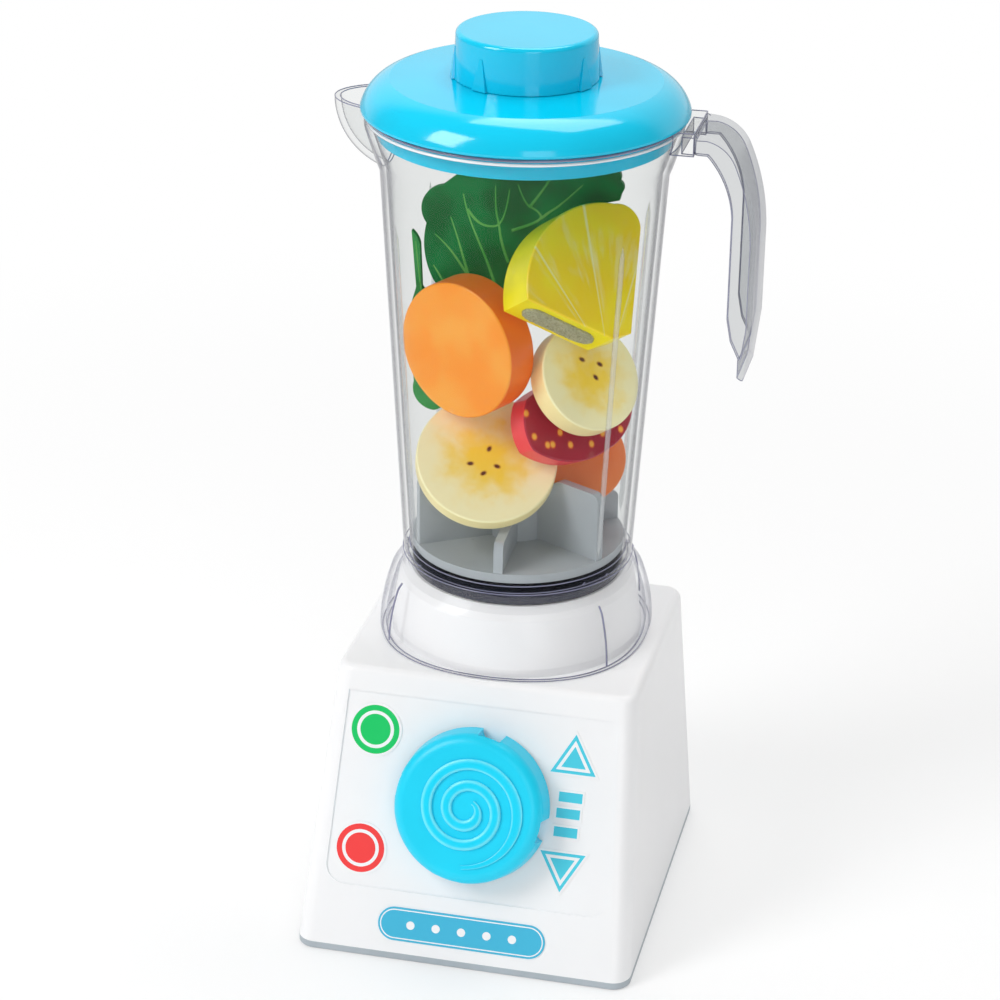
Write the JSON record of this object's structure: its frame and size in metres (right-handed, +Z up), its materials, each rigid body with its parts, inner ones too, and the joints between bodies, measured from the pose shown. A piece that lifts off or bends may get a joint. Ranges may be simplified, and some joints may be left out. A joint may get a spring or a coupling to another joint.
{
  "type": "toy blender",
  "caption": "Hand-turned toy blender: a sloping knob drives an upright spindle through bevel gears and stirs play food in a clear lift-off jar with spout, handle, lid and cap.",
  "frame": {"origin": "where the drive axis of the jar meets the surface that the base stands on", "axes": "+Z up along the drive axis, -Y towards the front with the knob, +X towards the jar handle"},
  "size_m": [0.1486, 0.1396, 0.3176],
  "materials": {
    "white_shell": "satin moulded",
    "grey_cover": "satin moulded",
    "screw_steel": "turned",
    "inner_plastic": "moulded",
    "green_sticker": "printed film",
    "red_sticker": "printed film",
    "cyan_sticker": "printed film",
    "plain_label": "printed film",
    "cyan_knob": "polished",
    "dark_disc": "moulded",
    "clear_jar": "clear moulded",
    "clear_collar": "clear moulded",
    "grey_impeller": "satin moulded",
    "pale_bush": "moulded",
    "orange_wood": "painted",
    "banana_wood": "painted",
    "peach_wood": "painted",
    "pineapple_wood": "painted",
    "strawberry_wood": "painted",
    "patch_fabric": "hook and loop",
    "kale_wood": "painted",
    "spinach_wood": "painted",
    "cyan_lid": "polished"
  },
  "bodies": {
    "base": {"base_shell": "white_shell", "bottom_cover": "grey_cover", "cover_screws": "screw_steel", "gear_frame": "inner_plastic", "frame_screws": "screw_steel", "knob_bush": "inner_plastic", "spindle_bush": "inner_plastic", "sticker_start": "green_sticker", "sticker_stop": "red_sticker", "sticker_up": "cyan_sticker", "sticker_down": "cyan_sticker", "sticker_bars": "cyan_sticker", "front_label": "plain_label"},
    "knob": {"knob": "cyan_knob", "knob_shaft": "screw_steel", "drive_gear": "inner_plastic", "knob_clip": "screw_steel"},
    "spindle": {"spindle": "screw_steel", "pinion_gear": "inner_plastic", "drive_disc": "dark_disc", "spindle_clip": "screw_steel"},
    "jar": {"jar_body": "clear_jar", "jar_collar": "clear_collar", "jar_handle": "clear_jar", "impeller_bush": "pale_bush"},
    "impeller": {"impeller": "grey_impeller", "impeller_shaft": "grey_impeller", "impeller_clip": "screw_steel", "orange_slice": "orange_wood", "pineapple_wedge": "pineapple_wood", "pineapple_patch": "patch_fabric", "banana_slice_upper": "banana_wood", "banana_slice_lower": "banana_wood", "strawberry_slice": "strawberry_wood", "peach_slice": "peach_wood", "kale_leaf": "kale_wood", "spinach_leaf": "spinach_wood"},
    "lid": {"lid": "cyan_lid"},
    "cap": {"lid_cap": "cyan_lid"}
  },
  "joints": [
    {"name": "knob_turn", "type": "hinge", "parent": "base", "child": "knob", "pos_m": [0, 0, 0.03257], "axis": [0, -0.9401, 0.341], "continuous": true},
    {"name": "spindle_turn", "type": "hinge", "parent": "base", "child": "spindle", "pos_m": [0, 0, 0.03257], "axis": [0, 0, 1], "continuous": true},
    {"name": "jar_lift", "type": "slide", "parent": "base", "child": "jar", "axis": [0, 0, 1], "range_m": [0, 0.12]},
    {"name": "impeller_turn", "type": "hinge", "parent": "jar", "child": "impeller", "pos_m": [0, 0, 0.1274], "axis": [0, 0, 1], "continuous": true},
    {"name": "lid_lift", "type": "slide", "parent": "jar", "child": "lid", "axis": [0, 0, 1], "range_m": [0, 0.08]},
    {"name": "cap_lift", "type": "slide", "parent": "lid", "child": "cap", "axis": [0, 0, 1], "range_m": [0, 0.05]}
  ],
  "couplings": [
    {"joint": "spindle_turn", "follows": "knob_turn", "ratio": -2},
    {"joint": "impeller_turn", "follows": "knob_turn", "ratio": -2}
  ]
}
